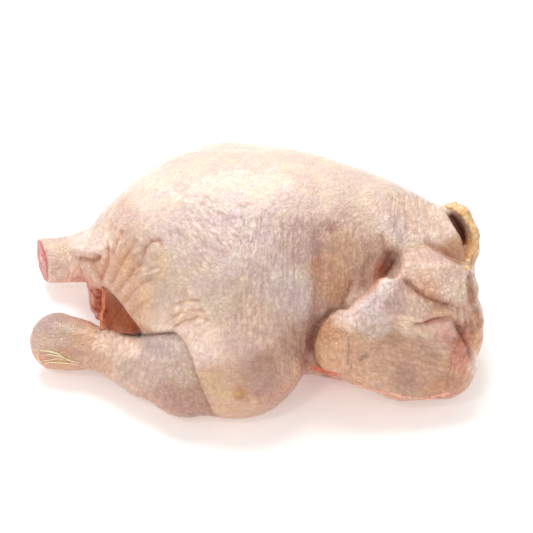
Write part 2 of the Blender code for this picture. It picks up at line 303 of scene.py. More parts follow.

# Stains, painted shade and painted highlights laid over the skin, name: (path, width in pixels, strength,
# red, green, blue)
STAINS_SHADE_AND_HIGHLIGHTS = {
    # Painted shade: in the armpit, beside it, in the wing crease and in the wrist pocket.
    "armpit": ([(393, 259), (390, 266), (384, 276)], 3.6, 0.9, 104, 36, 30),
    "armpit side": ([(384, 258), (380, 270), (374, 284)], 5.0, 0.45, 168, 96, 78),
    "wing crease": ([(414, 326), (425, 326), (433, 322), (443, 319)], 1.7, 0.9, 150, 56, 44),
    "wrist pocket": ([(453, 321), (459, 331), (465, 345), (470, 358)], 2.2, 0.7, 96, 56, 34),
    # The muscle's own pink, made paler as painted light where the wing faces up.
    "pink muscle": ([(437, 328), (447, 337), (455, 349), (464, 366)], 8.5, 0.5, 246, 176, 164),
    # Painted shade and shadow, from here to behind the wing: in the folds, under the lips, along the waist
    # and at the edge of the elbow.
    "fold of the thigh": ([(178, 334), (186, 343), (192, 356), (198, 376), (204, 391), (214, 412)],
                          1.4, 0.5, 158, 124, 104),
    "over the drumstick": ([(118, 333), (130, 335), (145, 335), (160, 333), (178, 332)],
                           2.3, 0.92, 62, 28, 16),
    "waist": ([(319, 225), (320, 255), (320, 290), (318, 320), (312, 345)], 5.0, 0.3, 176, 116, 92),
    "low waist": ([(314, 335), (309, 355), (303, 378)], 4.0, 0.45, 172, 92, 76),
    "elbow edge": ([(351, 307), (332, 310), (319, 322), (313, 338), (313, 353), (319, 367), (331, 379)],
                   2.6, 0.7, 128, 78, 58),
    "behind the wing": ([(391, 263), (382, 276), (367, 293), (351, 305)], 2.6, 0.5, 158, 104, 76),
    "side groove": ([(353, 279), (347, 294), (342, 306)], 1.8, 0.5, 164, 112, 56),
    # Painted shade, from here to the far leg edge: under the edge of the lobe, in the folds and troughs and
    # under the flank lip.
    "lobe edge": ([(403, 279), (414, 288), (426, 297), (438, 302), (452, 306)], 1.8, 0.75, 160, 108, 84),
    "neck fold": ([(425, 241), (436, 247), (446, 253), (456, 259), (464, 266)], 2.2, 0.5, 170, 108, 70),
    "flank edge": ([(103, 286), (115, 299), (125, 313), (140, 326), (155, 332)], 2.4, 0.5, 190, 118, 66),
    "leaf fold": ([(141, 260), (145, 248), (151, 241), (159, 240)], 1.5, 0.7, 190, 132, 106),
    "far leg trough": ([(74, 258), (84, 258), (94, 260), (102, 254)], 1.6, 0.75, 186, 116, 84),
    "far leg edge": ([(108, 244), (107, 258), (104, 270), (100, 283)], 1.7, 0.6, 196, 112, 66),
    "far leg under": ([(48, 284), (70, 281), (90, 285), (102, 285)], 3.0, 0.45, 232, 144, 122),
    "far hock rim": ([(37, 244), (46, 252), (47, 268), (45, 283)], 1.8, 0.4, 214, 128, 84),
    "shin edge": ([(90, 371), (115, 378), (140, 392), (165, 406)], 2.6, 0.3, 230, 168, 146),
    # The flesh in the neck slit: red, and darkened by painted shade in the opening.
    "neck slit": ([(449, 213), (456, 220), (461, 229), (465, 240), (467, 247)], 3.8, 0.95, 122, 42, 16),
    "neck lip": ([(452, 204), (464, 211), (472, 226), (474, 245), (468, 262)], 5.5, 0.8, 232, 190, 128),
    # A darker spot over the elbow dent, then a painted highlight on the elbow.
    "elbow dark spot": ([(359, 362), (363, 357), (368, 354)], 2.4, 0.55, 122, 102, 92),
    "elbow glint": ([(347, 314), (356, 322), (361, 330)], 3.0, 0.5, 242, 236, 238),
    "hand wrinkles": ([(461, 303), (462, 313), (463, 322)], 4.0, 0.5, 206, 182, 166),
    "hand yellow": ([(474, 312), (477, 332), (476, 352)], 2.4, 0.6, 226, 186, 128),
    # Painted shade in the groove behind the hand.
    "behind the hand": ([(471, 272), (472, 290), (476, 306), (480, 318)], 1.8, 0.6, 142, 92, 62),
    "arm top": ([(428, 247), (442, 256), (454, 266), (462, 278)], 4.0, 0.4, 206, 178, 176),
    "flank yellow": ([(160, 250), (163, 266), (152, 290), (142, 312)], 7.0, 0.3, 236, 206, 142),
    "yellow dot": ([(238, 392), (239, 394)], 2.6, 0.7, 222, 190, 60),
    "thigh olive": ([(211, 374), (216, 388), (232, 398)], 8.0, 0.4, 214, 192, 136),
    # Painted shade along the bottom of the thigh, by the floor.
    "low thigh": ([(258, 408), (280, 394), (300, 376)], 5.0, 0.4, 214, 150, 130),
    "forearm edge": ([(350, 386), (380, 396), (410, 402), (440, 400), (466, 386)], 3.4, 0.4, 236, 170, 150),
}

# Painted shade: how much of the red, green and blue is lost at the bottom of a fold.
FOLD_SHADE = (0.14, 0.3, 0.38)

# Outlines in the picture: of the parts that have areas of their own, and of where pimples change.
DRUMSTICK_OUTLINE = [(15, 300), (62, 303), (78, 313), (100, 323), (128, 334), (160, 334), (176, 333),
                     (185, 342), (191, 355), (197, 375), (203, 390), (212, 410), (224, 430), (60, 430),
                     (15, 400)]
WING_OUTLINE = [(398, 256), (410, 244), (424, 241), (445, 252), (464, 265), (470, 268), (490, 290),
                (490, 420), (345, 420), (312, 372), (316, 340), (330, 312), (352, 309), (370, 298),
                (386, 278)]
NEAR_HOCK = [(28, 310), (64, 308), (84, 322), (86, 352), (66, 366), (28, 372)]
FAR_HOCK = [(36, 232), (68, 228), (72, 250), (71, 272), (62, 286), (40, 288)]
SIDE = [(300, 212), (362, 212), (366, 300), (334, 332), (302, 332)]

FAR_CUT_FACE = (204, 92, 78)
VENT_LINING = (216, 134, 84)
# Painted shade: the darker flesh deep in the vent, up under the flank lip.
VENT_DEEP_SHADE = (150, 74, 44)
TAIL_FLESH = (198, 96, 46)
BREAST_RED = (206, 92, 60)
UNDERSIDE = (224, 190, 168)

# Which way the cut face of the far hock looks, and a place in its middle, in metres.
CUT_OUTWARD = (-0.93, -0.36, 0.05)
CUT_MIDDLE = (-0.1303, 0.047, 0.0235)
# Knobs of the bone there: how far from the middle, and their radius, in metres.
BONE_KNOBS = (((0, 0.0026, 0), 0.0046), ((0, -0.0028, 0.001), 0.0038))

# Limits in millimetres, for banded(): the room of the vent along x, y and z, and the bare breast's x.
VENT_ROOM = ((-93, -89, -32, -26), (-36, -31, 8, 12), (1, 3, 41, 44))
BREAST_SPAN = (26, 34, 54, 62)

# Paths in the picture along which loose pieces lie.
NECK_LIPS = [
    [(447, 206), (457, 209), (466, 217), (472, 229), (474, 243), (470, 257), (466, 270)],
    [(452, 204), (461, 208), (470, 216), (475, 230), (476, 244), (472, 260)],
]
UNDER_FOREARM = [[(352, 383), (375, 390), (400, 396), (425, 399), (450, 393)]]
BESIDE_TAIL = [[(91, 291), (94, 297), (95, 304), (97, 311), (99, 318)], [(98, 292), (99, 302), (101, 312)]]
BELOW_ELBOW = [[(311, 369), (320, 371), (330, 373), (341, 376)], [(313, 367), (328, 371), (338, 374)]]
TENDONS = [
    [(40, 350), (48, 351), (57, 353), (65, 358)],
    [(41, 355), (50, 354), (60, 356), (72, 361), (79, 362)],
    [(39, 361), (48, 360), (58, 358), (66, 360)],
    [(43, 364), (50, 362), (58, 362), (70, 363), (78, 364)],
    [(39, 350), (38, 356), (40, 361), (43, 364)],
]
TENDON_POINTS = 14
TENDON_LIFT = 0.00025
VENT_SKIN_TOP = (102, 286)
VENT_SKIN_BOTTOM = (104, 330)

# name: (paths, grains to a path, radius in metres, spread in millimetres, added to the seed, flatness)
LOOSE_FLESH = {
    "forearm_flesh": (UNDER_FOREARM, 46, 0.0016, 1.2, 1, 0.9),
    "tail_flesh": (BESIDE_TAIL, 9, 0.0041, 1.8, 3, 0.7),
    "breast_flesh": (BELOW_ELBOW, 16, 0.0026, 0.7, 2, 0.6),
}
# material: (paler colour, deeper colour, roughness, grains to the metre, height of the grains in metres)
FLESH_LOOKS = {
    "neck_fat": ((244, 216, 172), (200, 140, 70), 0.38, 420.0, 0.0004),
    "forearm_flesh": ((240, 190, 172), (224, 146, 122), 0.36, 500.0, 0.0004),
    "tail_flesh": ((214, 116, 66), (158, 62, 32), 0.34, 380.0, 0.0004),
    "breast_flesh": ((228, 128, 96), (194, 84, 54), 0.34, 420.0, 0.0004),
    "tendons": ((250, 240, 206), (238, 218, 164), 0.35, 600.0, 0.0002),
    "cartilage": ((230, 176, 162), (206, 120, 108), 0.3, 300.0, 0.0002),
    "vent_skin": ((216, 140, 108), (178, 92, 62), 0.35, 260.0, 0.0003),
}

# What the lights point at. Then name: (place, width, share of the overhead light's power)
LIT_POINT = (0.0, 0.0, 0.05)
LIGHTS = {
    "overhead": ((-0.15, 0.35, 1.0), 0.7, 1.0),
    "front": ((-0.5, -0.9, 0.6), 0.6, 0.14),
    "glints": ((-0.3, -0.62, 0.78), 0.12, 0.12),
}
FLOOR_COLOUR = (0.93, 0.915, 0.905)
FLOOR_GLOW = 0.32


def linear(colour):
    """Red, green and blue of 0 to 255 as paint, turned into amounts of light."""
    part = np.array(colour, float) / 255.0
    return np.where(part <= 0.04045, part / 12.92, ((part + 0.055) / 1.055) ** 2.4)


def eased(values, start, end):
    """Rises smoothly from 0 at the start to 1 at the end."""
    share = np.clip((values - start) / (end - start), 0.0, 1.0)
    return share * share * (3.0 - 2.0 * share)


def banded(values, limits):
    """1 between the two inner limits, falling to 0 at the two outer ones."""
    low, low_inside, high_inside, high = limits
    return eased(values, low, low_inside) * eased(-values, -high, -high_inside)


def bell(gap, width):
    return np.exp(-((gap / width) ** 2))


def tapered(share, start=-0.02, full=0.16):
    """Strength along a path, which fades towards both of its ends."""
    return eased(np.minimum(share, 1.0 - share), start, full)


def mixed(colour, other, share):
    return tuple(a + (b - a) * share for a, b in zip(colour, other))


def sight_axes():
    """Eye, right, up and back of the camera that took the photograph."""
    lift = math.radians(PHOTO_ELEVATION)
    back = Vector((0.0, -math.cos(lift), math.sin(lift)))
    up = Vector((0.0, math.sin(lift), math.cos(lift)))
    return PHOTO_TARGET + back * PHOTO_DISTANCE, Vector((1.0, 0.0, 0.0)), up, back


def in_picture(points):
    """Where points in metres show in the photograph, in pixels."""
    eye, right, up, back = (np.array(part) for part in sight_axes())
    off = points - eye
    depth = -(off @ back)
    half = PHOTO_PIXELS / 2
    across = half + PHOTO_FOCAL * (off @ right) / depth
    down = half - PHOTO_FOCAL * (off @ up) / depth
    return np.stack([across, down], axis=1)


def sight(place):
    """The eye, and the direction in which it sees this place in the picture."""
    eye, right, up, back = sight_axes()
    half = PHOTO_PIXELS / 2
    along = right * ((place[0] - half) / PHOTO_FOCAL) + up * ((half - place[1]) / PHOTO_FOCAL) - back
    return eye, along.normalized()


def on_skin(tree, place):
    """The point of the skin, and its outward direction, that shows at a place in the picture."""
    eye, along = sight(place)
    point, normal, _, _ = tree.ray_cast(eye, along)
    if point is None:
        raise RuntimeError(f"nothing of the skin shows at {place}")
    return point, normal


def seen_from_eye(tree, points, normals):
    """Which points of the skin the photograph shows."""
    eye = sight_axes()[0]
    seen = np.zeros(len(points), bool)
    for i, (point, normal) in enumerate(zip(points, normals)):
        point = Vector(point)
        way = eye - point
        if way.normalized().dot(Vector(normal)) < GRAZING:
            continue
        start = point + Vector(normal) * OFF_SKIN
        seen[i] = tree.ray_cast(start, (eye - start).normalized())[0] is None
    return seen


def run_along(path):
    """Length of a path up to each of its points."""
    return np.concatenate([[0.0], np.cumsum(np.hypot(*np.diff(path, axis=0).T))])


def point_on(path, run, at):
    """The place on a path where its run has this value."""
    return np.interp(at, run, path[:, 0]), np.interp(at, run, path[:, 1])


def to_path(places, path):
    """Distance to a path in pixels, side (positive to its right) and the share of its length."""
    path = np.array(path, float)
    run = run_along(path)
    run /= run[-1]
    best = np.full(len(places), 1e9)
    side, share = np.zeros(len(places)), np.zeros(len(places))
    for i, (start, end) in enumerate(zip(path, path[1:])):
        along = end - start
        off = places - start
        part = np.clip(off @ along / (along @ along), 0.0, 1.0)
        gap = np.hypot(*(off - part[:, None] * along).T)
        near = gap < best
        best[near] = gap[near]
        side[near] = np.sign(along[0] * off[:, 1] - along[1] * off[:, 0])[near]
        share[near] = (run[i] + (run[i + 1] - run[i]) * part)[near]
    return best, side, share


def within(places, outline, feather):
    """How far each place is inside an outline, from 0 to 1."""
    inside = np.zeros(len(places), bool)
    x, y = places.T
    for (x0, y0), (x1, y1) in zip(outline, outline[1:] + outline[:1]):
        crosses = (y0 > y) != (y1 > y)
        at = x0 + (y - y0) * (x1 - x0) / ((y1 - y0) or 1e-9)
        inside ^= crosses & (x < at)
    gap = to_path(places, outline + outline[:1])[0]
    return eased(np.where(inside, gap, -gap), -feather, feather)


def relief(places):
    """Height of the skin's folds above the smooth form, in millimetres, at places in the picture."""
    height = np.zeros(len(places))
    for kind, width, tall, path in FOLDS.values():
        gap, side, share = to_path(places, path)
        ends = tapered(share)
        near = bell(gap, width)
        if kind == "groove":
            height -= tall * near * ends
        elif kind == "ridge":
            height += tall * near * ends
        else:
            above = eased(-side * gap, -0.8, 1.6)
            height += ends * tall * (above * near - 0.5 * (1 - above) * bell(gap, 3.0))
    for middle, radius, tall in BULGES.values():
        gap = np.hypot(*(places - np.array(middle)).T)
        height += tall * bell(gap, radius)
    return height


def grains(places):
    """How far across and along its wrinkles each place in the picture lies, in millimetres, and how
    strongly it is wrinkled, from 0 to 1."""
    looks = np.zeros((len(places), 3))
    second = np.zeros(len(places))
    for middle, (near, far), (first, last), strength in GRAINS.values():
        off = places - np.array(middle)
        reach = np.hypot(*off.T)
        turn = np.degrees(np.arctan2(off[:, 1], off[:, 0]))
        turn = np.where(turn < first - 90, turn + 360, turn)
        edge = np.radians(np.minimum(turn - first, last - turn)) * reach
        inside = eased(edge, 0, GRAIN_FADE) * eased(np.minimum(reach - near, far - reach), 0, GRAIN_FADE)
        inside *= strength
        across = np.radians(turn - first) * (near + far) / 2 * PIXEL_MM
        second = np.maximum(second, np.minimum(inside, looks[:, 2]))
        here = inside > looks[:, 2]
        looks[here] = np.stack([across, reach * PIXEL_MM, inside], axis=1)[here]
    looks[:, 2] = np.clip(2 * (looks[:, 2] - second), 0.0, looks[:, 2])
    return looks


def unevenness(points):
    """Uneven flesh and fine slack folds all over, in millimetres, from points in metres."""
    height = np.empty(len(points))
    for i, (x, y, z) in enumerate(points):
        lumps = noise.noise(Vector((x, y, z)) * 60.0) * 0.6
        slack = noise.noise(Vector((x * 140.0, y * 260.0, z * 230.0))) * 0.3
        fine = noise.noise(Vector((x * 380.0, y * 380.0, z * 380.0))) * 0.22
        height[i] = lumps + slack + fine
    return height


def pleated(wrinkles):
    """Height of the drawn skin's pleats, in millimetres, along its wrinkles."""
    height = np.zeros(len(wrinkles))
    for i in np.flatnonzero(wrinkles[:, 2] > 0.02):
        across, along, strength = wrinkles[i]
        height[i] = strength * noise.noise(Vector((across * 0.42, along * 0.07, 0.0)))
    return PLEAT_HEIGHT * height


def blended(places, areas):
    """Skin colour between the named areas."""
    total = np.zeros(len(places))
    colour = np.zeros((len(places), 3))
    for tone, (x, y), radius in areas.values():
        far = ((places[:, 0] - x) ** 2 + (places[:, 1] - y) ** 2) / radius**2
        weight = 1.0 / (far + 0.15) ** 2.3
        total += weight
        colour += weight[:, None] * linear(TONES[tone])
    return colour / total[:, None]


def painted(places):
    """Skin colour at places in the picture, with painted shade in the folds, and the stains, painted shade
    and highlights laid over it.
    """
    colour = blended(places, TRUNK_AREAS)
    for areas, outline in ((DRUMSTICK_AREAS, DRUMSTICK_OUTLINE), (WING_AREAS, WING_OUTLINE)):
        share = within(places, outline, 1.2)[:, None]
        colour += (blended(places, areas) - colour) * share
    # Painted shade at the bottom of the grooves and the lips.
    for kind, width, tall, path in FOLDS.values():
        if kind != "ridge" and (kind == "lip_left" or width < 5):
            gap, _, share = to_path(places, path)
            deep = min(tall / 1.4, 1.0) * tapered(share) * bell(gap, min(width, 2.4))
            colour *= 1.0 - deep[:, None] * np.array(FOLD_SHADE)
    # Stains, painted shade and painted highlights, laid over the skin.
    for path, width, strength, *paint in STAINS_SHADE_AND_HIGHLIGHTS.values():
        gap, _, share = to_path(places, path)
        amount = strength * bell(gap, width) * tapered(share, -0.05, 0.1)
        colour += (linear(paint) - colour) * amount[:, None]
    return colour


def pimpled(places):
    """How strongly the skin is pimpled, and how much of that is fine dots, from 0 to 1."""
    amount = 0.42 + 0.58 * within(places, DRUMSTICK_OUTLINE, 6.0)
    amount = np.maximum(amount, 0.95 * within(places, WING_OUTLINE, 8.0))
    amount = np.maximum(amount, 0.9 * within(places, SIDE, 12.0))
    dots = np.maximum(within(places, NEAR_HOCK, 7.0), within(places, FAR_HOCK, 5.0))
    amount = np.maximum(amount, dots) * (0.3 + 0.7 * eased(places[:, 1], 150, 225))
    return np.stack([amount, dots], axis=1)


def looks_at(places):
    """Fold height, colour, pimples and fine dots at places in the picture."""
    return np.concatenate([relief(places)[:, None], painted(places), pimpled(places)], axis=1)


def neighbours_mean(edges, values, count):
    """Each corner's mean over its neighbours."""
    ends = np.concatenate([edges[:, 0], edges[:, 1]])
    others = np.concatenate([edges[:, 1], edges[:, 0]])
    degree = np.maximum(np.bincount(ends, minlength=count), 1)
    sums = [np.bincount(ends, weights=values[others, k], minlength=count) for k in range(values.shape[1])]
    return np.stack(sums, axis=1) / degree[:, None]


def across_spine(points):
    """The same places on the near side, where the far wing stands as high as the near one."""
    other = points * np.array([1.0, -1.0, 1.0])
    on_far_wing = (points[:, 1] > WING_START_Y) & (points[:, 0] > WING_START_X)
    other[on_far_wing, 2] /= FAR_WING_SLUMP
    return other


def shown_at(points, seen):
    """Where in the picture each point of the skin takes its looks from. A point that shows has its own
    place. A hidden one has the nearest place that shows and the same place across the spine, and a
    share from 0 to 1 for the second. Last comes how far its own looks are from certain, in
    millimetres."""
    tree = kdtree.KDTree(int(seen.sum()))
    for i in np.flatnonzero(seen):
        tree.insert(points[i], int(i))
    tree.balance()
    own = in_picture(points)
    nearest, second = own.copy(), in_picture(across_spine(points))
    gaps = np.zeros((2, len(points)))
    for i, other in zip(np.flatnonzero(~seen), across_spine(points[~seen])):
        _, here, gaps[0, i] = tree.find(points[i])
        _, there, gaps[1, i] = tree.find(other)
        nearest[i] = own[here]
        if gaps[1, i] > SURE_GAP:
            second[i] = own[there]
    share = eased(gaps[0], 0.0, TURN_OVER) * eased(gaps[0] / (gaps.sum(axis=0) + 1e-9), 0.35, 0.65)
    return nearest, second, share, gaps.min(axis=0) / MM


def soothed(edges, values, hidden, rounds):
    """The same values, evened out over the part that the photograph hides."""
    for _ in range(rounds):
        mean = neighbours_mean(edges, values, len(values))
        values[hidden] += 0.6 * (mean[hidden] - values[hidden])
    return values


def finer_copy(settings):
    """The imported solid's mesh, merged, rounded and meshed finely, as a new object."""
    mesh = bmesh.new()
    mesh.from_mesh(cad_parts[NODE].data)
    bmesh.ops.remove_doubles(mesh, verts=mesh.verts, dist=1e-6)
    skin = bpy.data.objects.new("chicken_skin", bpy.data.meshes.new("chicken_skin"))
    bpy.context.scene.collection.objects.link(skin)
    mesh.to_mesh(skin.data)
    mesh.free()
    applied(skin, "SUBSURF", levels=1, render_levels=1)
    applied(skin, "REMESH", mode="VOXEL", voxel_size=settings.mesh_size)
    return smoothed(skin)


def smoothed(obj, rounds=2):
    """Evens out the steps that voxels leave in the object's mesh."""
    mesh = bmesh.new()
    mesh.from_mesh(obj.data)
    for _ in range(rounds):
        bmesh.ops.smooth_vert(
            mesh, verts=mesh.verts, factor=0.5, use_axis_x=True, use_axis_y=True, use_axis_z=True
        )
    mesh.to_mesh(obj.data)
    mesh.free()
    return obj


def applied(obj, kind, **settings):
    """Gives the object the mesh that it has after one modifier of this kind."""
    modifier = obj.modifiers.new(kind.lower(), kind)
    for name, value in settings.items():
        setattr(modifier, name, value)
    graph = bpy.context.evaluated_depsgraph_get()
    made = bpy.data.meshes.new_from_object(obj.evaluated_get(graph))
    obj.modifiers.clear()
    obj.data = made


def corners_of(mesh):
    """Places and outward directions of a mesh's corners, in metres."""
    places = np.zeros(len(mesh.vertices) * 3)
    mesh.vertices.foreach_get("co", places)
    normals = np.zeros(len(mesh.vertices) * 3)
    mesh.vertex_normals.foreach_get("vector", normals)
    return places.reshape(-1, 3), normals.reshape(-1, 3)


def stored(mesh, name, values):
    """Keeps one number from 0 to 1 for each corner of the mesh, for its material."""
    layer = mesh.attributes.new(name, "FLOAT", "POINT")
    layer.data.foreach_set("value", np.clip(values, 0.0, 1.0))


def tree_of(obj):
    graph = bpy.context.evaluated_depsgraph_get()
    return BVHTree.FromObject(obj, graph)


def flesh_painted(points, normals, colour):
    """Paints the places that have their own flesh: the cut hock, the vent, the tail and the breast. The flesh
    deeper in the vent is darker, as painted shade.
    """
    x, y, z = points.T / MM
    facing = normals @ np.array(CUT_OUTWARD)
    hock = eased(facing, 0.75, 0.92) * eased(-x, 120, 124) * eased(y, 28, 34)
    colour += (linear(FAR_CUT_FACE) - colour) * hock[:, None]

    room = np.prod([banded(values, limits) for values, limits in zip((x, y, z), VENT_ROOM)], axis=0)
    wall = room * eased(-normals[:, 1], 0.3, 0.6) * eased(y, -17, -12)
    ceiling = room * eased(-normals[:, 2], -0.1, 0.4)
    bottom = room * eased(y, -25, -20) * eased(x, -82, -76) * eased(-z, -26, -20)
    lining = np.maximum(np.maximum(wall, ceiling), bottom)
    # Painted shade: darker further into the vent and up towards its ceiling.
    deep = (eased(x, -74, -50) * 0.8 + 0.2 * eased(z, 22, 36))[:, None]
    flesh = linear(VENT_LINING) * (1 - deep) + linear(VENT_DEEP_SHADE) * deep
    colour += (flesh - colour) * lining[:, None]
    tail = eased(-z, -43, -39) * eased(-x, 81, 85) * eased(-np.abs(y - 1), -14, -10)
    colour += (linear(TAIL_FLESH) - colour) * tail[:, None]

    breast = banded(x, BREAST_SPAN) * eased(-z, -11, -7) * eased(-y, 30, 36)
    colour += (linear(BREAST_RED) - colour) * (0.85 * breast)[:, None]
    low = eased(-normals[:, 2], 0.6, 0.9) * eased(-z, -14, -5)
    colour += (linear(UNDERSIDE) - colour) * (low * (1 - breast))[:, None]
    return colour


def material_with(name):
    """A new, empty node material, and a function that adds a node to it, with its settings, its fixed
    values and its links."""
    material = bpy.data.materials.new(name)
    material.use_nodes = True
    nodes, links = material.node_tree.nodes, material.node_tree.links
    nodes.clear()

    def add(kind, inputs=None, **settings):
        node = nodes.new("ShaderNode" + kind)
        for key, value in settings.items():
            setattr(node, key, value)
        for key, value in (inputs or {}).items():
            if isinstance(value, bpy.types.NodeSocket):
                links.new(value, node.inputs[key])
            else:
                node.inputs[key].default_value = value
        return node

    return material, add


def skin_material(settings):
    """Raw skin, over the paint, pimples and wrinkles that are kept with the mesh."""
    material, add = material_with("raw_skin")

    def kept(name, out="Fac"):
        return add("Attribute", attribute_name=name).outputs[out]

    def noise_at(where, scale, detail=3.0, rough=0.55, out="Fac"):
        return add("TexNoise", {"Vector": where, "Scale": scale, "Detail": detail,
                   "Roughness": rough}).outputs[out]

    def cells_at(where, scale, randomness=1.0):
        return add("TexVoronoi", {"Vector": where, "Scale": scale, "Randomness": randomness},
                   feature="F1").outputs["Distance"]

    def vectors(kind, *values):
        return add("VectorMath", dict(enumerate(values)), operation=kind).outputs["Vector"]

    def shaken(where, scale, detail, reach):
        """Places pushed about by noise, by up to this reach in metres."""
        push = noise_at(where, scale, detail, out="Color")
        return vectors("MULTIPLY_ADD", push, (reach, reach, reach), where)

    def numbers(kind, *values):
        return add("Math", dict(enumerate(values)), operation=kind).outputs["Value"]

    def times(one, other):
        return numbers("MULTIPLY", one, other)

    def plus(one, share, other):
        return numbers("MULTIPLY_ADD", one, share, other)

    def blend(factor, one, other):
        return add("Mix", {0: factor, 2: one, 3: other}).outputs[0]

    def between(value, low, high, start=0.0, end=1.0):
        return add("MapRange", {"Value": value, "From Min": low, "From Max": high,
                   "To Min": start, "To Max": end}, interpolation_type="SMOOTHSTEP").outputs["Result"]

    def tinted(base, factor, low, high, amount):
        """Base colour, deepened where the factor is 0 and paled where it is 1."""
        tint = add("Mix", {0: factor, 6: (*low, 1.0), 7: (*high, 1.0)}, data_type="RGBA").outputs[2]
        return add("Mix", {0: amount, 6: base, 7: tint}, data_type="RGBA", blend_type="MULTIPLY",
                   clamp_result=False).outputs[2]

    place = add("TexCoord").outputs["Object"]
    paint, way = kept("skin_colour", "Color"), kept("wrinkle_place", "Vector")
    pimples, dotted, wrinkled = kept("pimples"), kept("fine_dots"), kept("wrinkled")

    # Bumps where the feathers stood: domes a few millimetres apart, in rows where the skin is drawn.
    domes = between(cells_at(shaken(place, 170.0, 1.0, 0.0022), 1.0 / settings.pimple_spacing, 0.85),
                    0.72, 0.1)
    row_domes = between(cells_at(vectors("MULTIPLY", way, (0.46, 0.27, 1.0)), 1.0, 0.9), 0.72, 0.1)
    pleats = between(noise_at(vectors("MULTIPLY", way, (0.5, 0.085, 1.0)), 1.0, 3.0, 0.6), 0.36, 0.6)
    streaks = plus(pleats, 0.4, times(row_domes, 0.6))
    dots = between(cells_at(place, 1.0 / settings.dot_spacing, 0.45), 0.62, 0.12)
    relief_share = blend(dotted, blend(wrinkled, domes, streaks), dots)
    rise = times(relief_share, blend(wrinkled, pimples, 0.95))

    # A net of fine creases, and fine and medium wrinkles all over.
    net_place = shaken(place, 90.0, 2.0, 0.007)
    lines = numbers("SUBTRACT", noise_at(net_place, 330.0, 2.0, 0.5), 0.5)
    crease = between(numbers("ABSOLUTE", lines), 0.0, 0.055)
    fine = noise_at(place, 620.0, 4.0, 0.62)
    medium = noise_at(net_place, 260.0, 3.0, 0.6)
    busy = between(pimples, 0.1, 0.42, 0.3, 1.0)

    # Colour: clouds of lilac and cream, and orange flecks. The skin is paler on the bumps and darker between
    # them, in the pleats and along the crease lines, partly its own colour and partly painted shade in the
    # hollows.
    clouds = between(noise_at(place, 85.0, 4.0, 0.62), 0.32, 0.68)
    mottling = between(medium, 0.3, 0.7)
    colour = tinted(paint, clouds, (0.96, 0.9, 0.945), (1.045, 1.03, 0.94), 1.0)
    colour = tinted(colour, relief_share, (0.85, 0.77, 0.74), (1.1, 1.1, 1.1),
                    blend(wrinkled, pimples, 0.5))
    colour = tinted(colour, streaks, (0.8, 0.71, 0.65), (1.13, 1.12, 1.1), times(wrinkled, 0.8))
    colour = tinted(colour, crease, (0.88, 0.83, 0.81), (1.02, 1.02, 1.02), times(busy, 0.6))
    colour = tinted(colour, mottling, (0.93, 0.905, 0.895), (1.05, 1.05, 1.05), busy)
    rare = between(noise_at(place, 60.0, 2.0), 0.52, 0.62)
    fleck = times(between(cells_at(place, 170.0), 0.24, 0.1, 0.0, 0.4), rare)
    colour = add("Mix", {0: fleck, 6: colour, 7: (0.62, 0.34, 0.17, 1.0)}, data_type="RGBA").outputs[2]

    height = times(rise, settings.pimple_height)
    height = plus(crease, 0.2 * settings.wrinkle_height, height)
    height = plus(times(medium, busy), 0.6 * settings.wrinkle_height, height)
    height = plus(fine, 0.65 * settings.wrinkle_height, height)
    bump = add("Bump", {"Height": height, "Distance": 1.0, "Strength": 1.0})
    rough = between(noise_at(place, 75.0, 3.0), 0.36, 0.64, 0.26, 0.5)
    shader = add("BsdfPrincipled", {
        "Base Color": colour,
        "Roughness": rough,
        "Normal": bump.outputs["Normal"],
        "IOR": 1.42,
        "Specular IOR Level": 0.45,
        "Subsurface Weight": settings.translucence,
        "Subsurface Radius": (1.0, 0.42, 0.24),
        "Subsurface Scale": 0.0018,
        "Coat Weight": 0.3,
        "Coat Roughness": 0.12,
    })
    add("OutputMaterial", {"Surface": shader.outputs["BSDF"]})
    return material


def flesh_material(name, deeper=None):
    """Wet fat, flesh, sinew or bone: two tones in fine grains, slightly glossy."""
    paler, usual, rough, scale, height = FLESH_LOOKS[name]
    material, add = material_with(name)
    place = add("TexCoord").outputs["Object"]
    grain = add("TexNoise", {"Vector": place, "Scale": scale, "Detail": 4.0, "Roughness": 0.6}).outputs["Fac"]
    tone = add("MapRange", {"Value": grain, "From Min": 0.36, "From Max": 0.64})
    mix = add("Mix", {"Factor": tone.outputs["Result"], "A": (*linear(deeper or usual), 1.0),
              "B": (*linear(paler), 1.0)}, data_type="RGBA")
    depth = add("Math", {0: grain, 1: height}, operation="MULTIPLY")
    bump = add("Bump", {"Height": depth.outputs["Value"], "Distance": 1.0, "Strength": 0.8})
    shader = add("BsdfPrincipled", {
        "Base Color": mix.outputs["Result"],
        "Roughness": rough,
        "Normal": bump.outputs["Normal"],
        "Subsurface Weight": 0.25,
        "Subsurface Radius": (1.0, 0.5, 0.25),
        "Subsurface Scale": 0.002,
        "Coat Weight": 0.2,
        "Coat Roughness": 0.2,
    })
    add("OutputMaterial", {"Surface": shader.outputs["BSDF"]})
    return material


def dressed(piece, material):
    """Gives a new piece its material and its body."""
    piece.data.materials.clear()
    piece.data.materials.append(material)
    piece.data.shade_smooth()
    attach(piece, BODY)
    return piece


def linked(name, mesh):
    """A new object for a finished bmesh, at the origin."""
    piece = bpy.data.objects.new(name, bpy.data.meshes.new(name))
    bpy.context.scene.collection.objects.link(piece)
    mesh.to_mesh(piece.data)
    mesh.free()
    return piece


def skin_piece():
    return bpy.data.objects["chicken_skin"]


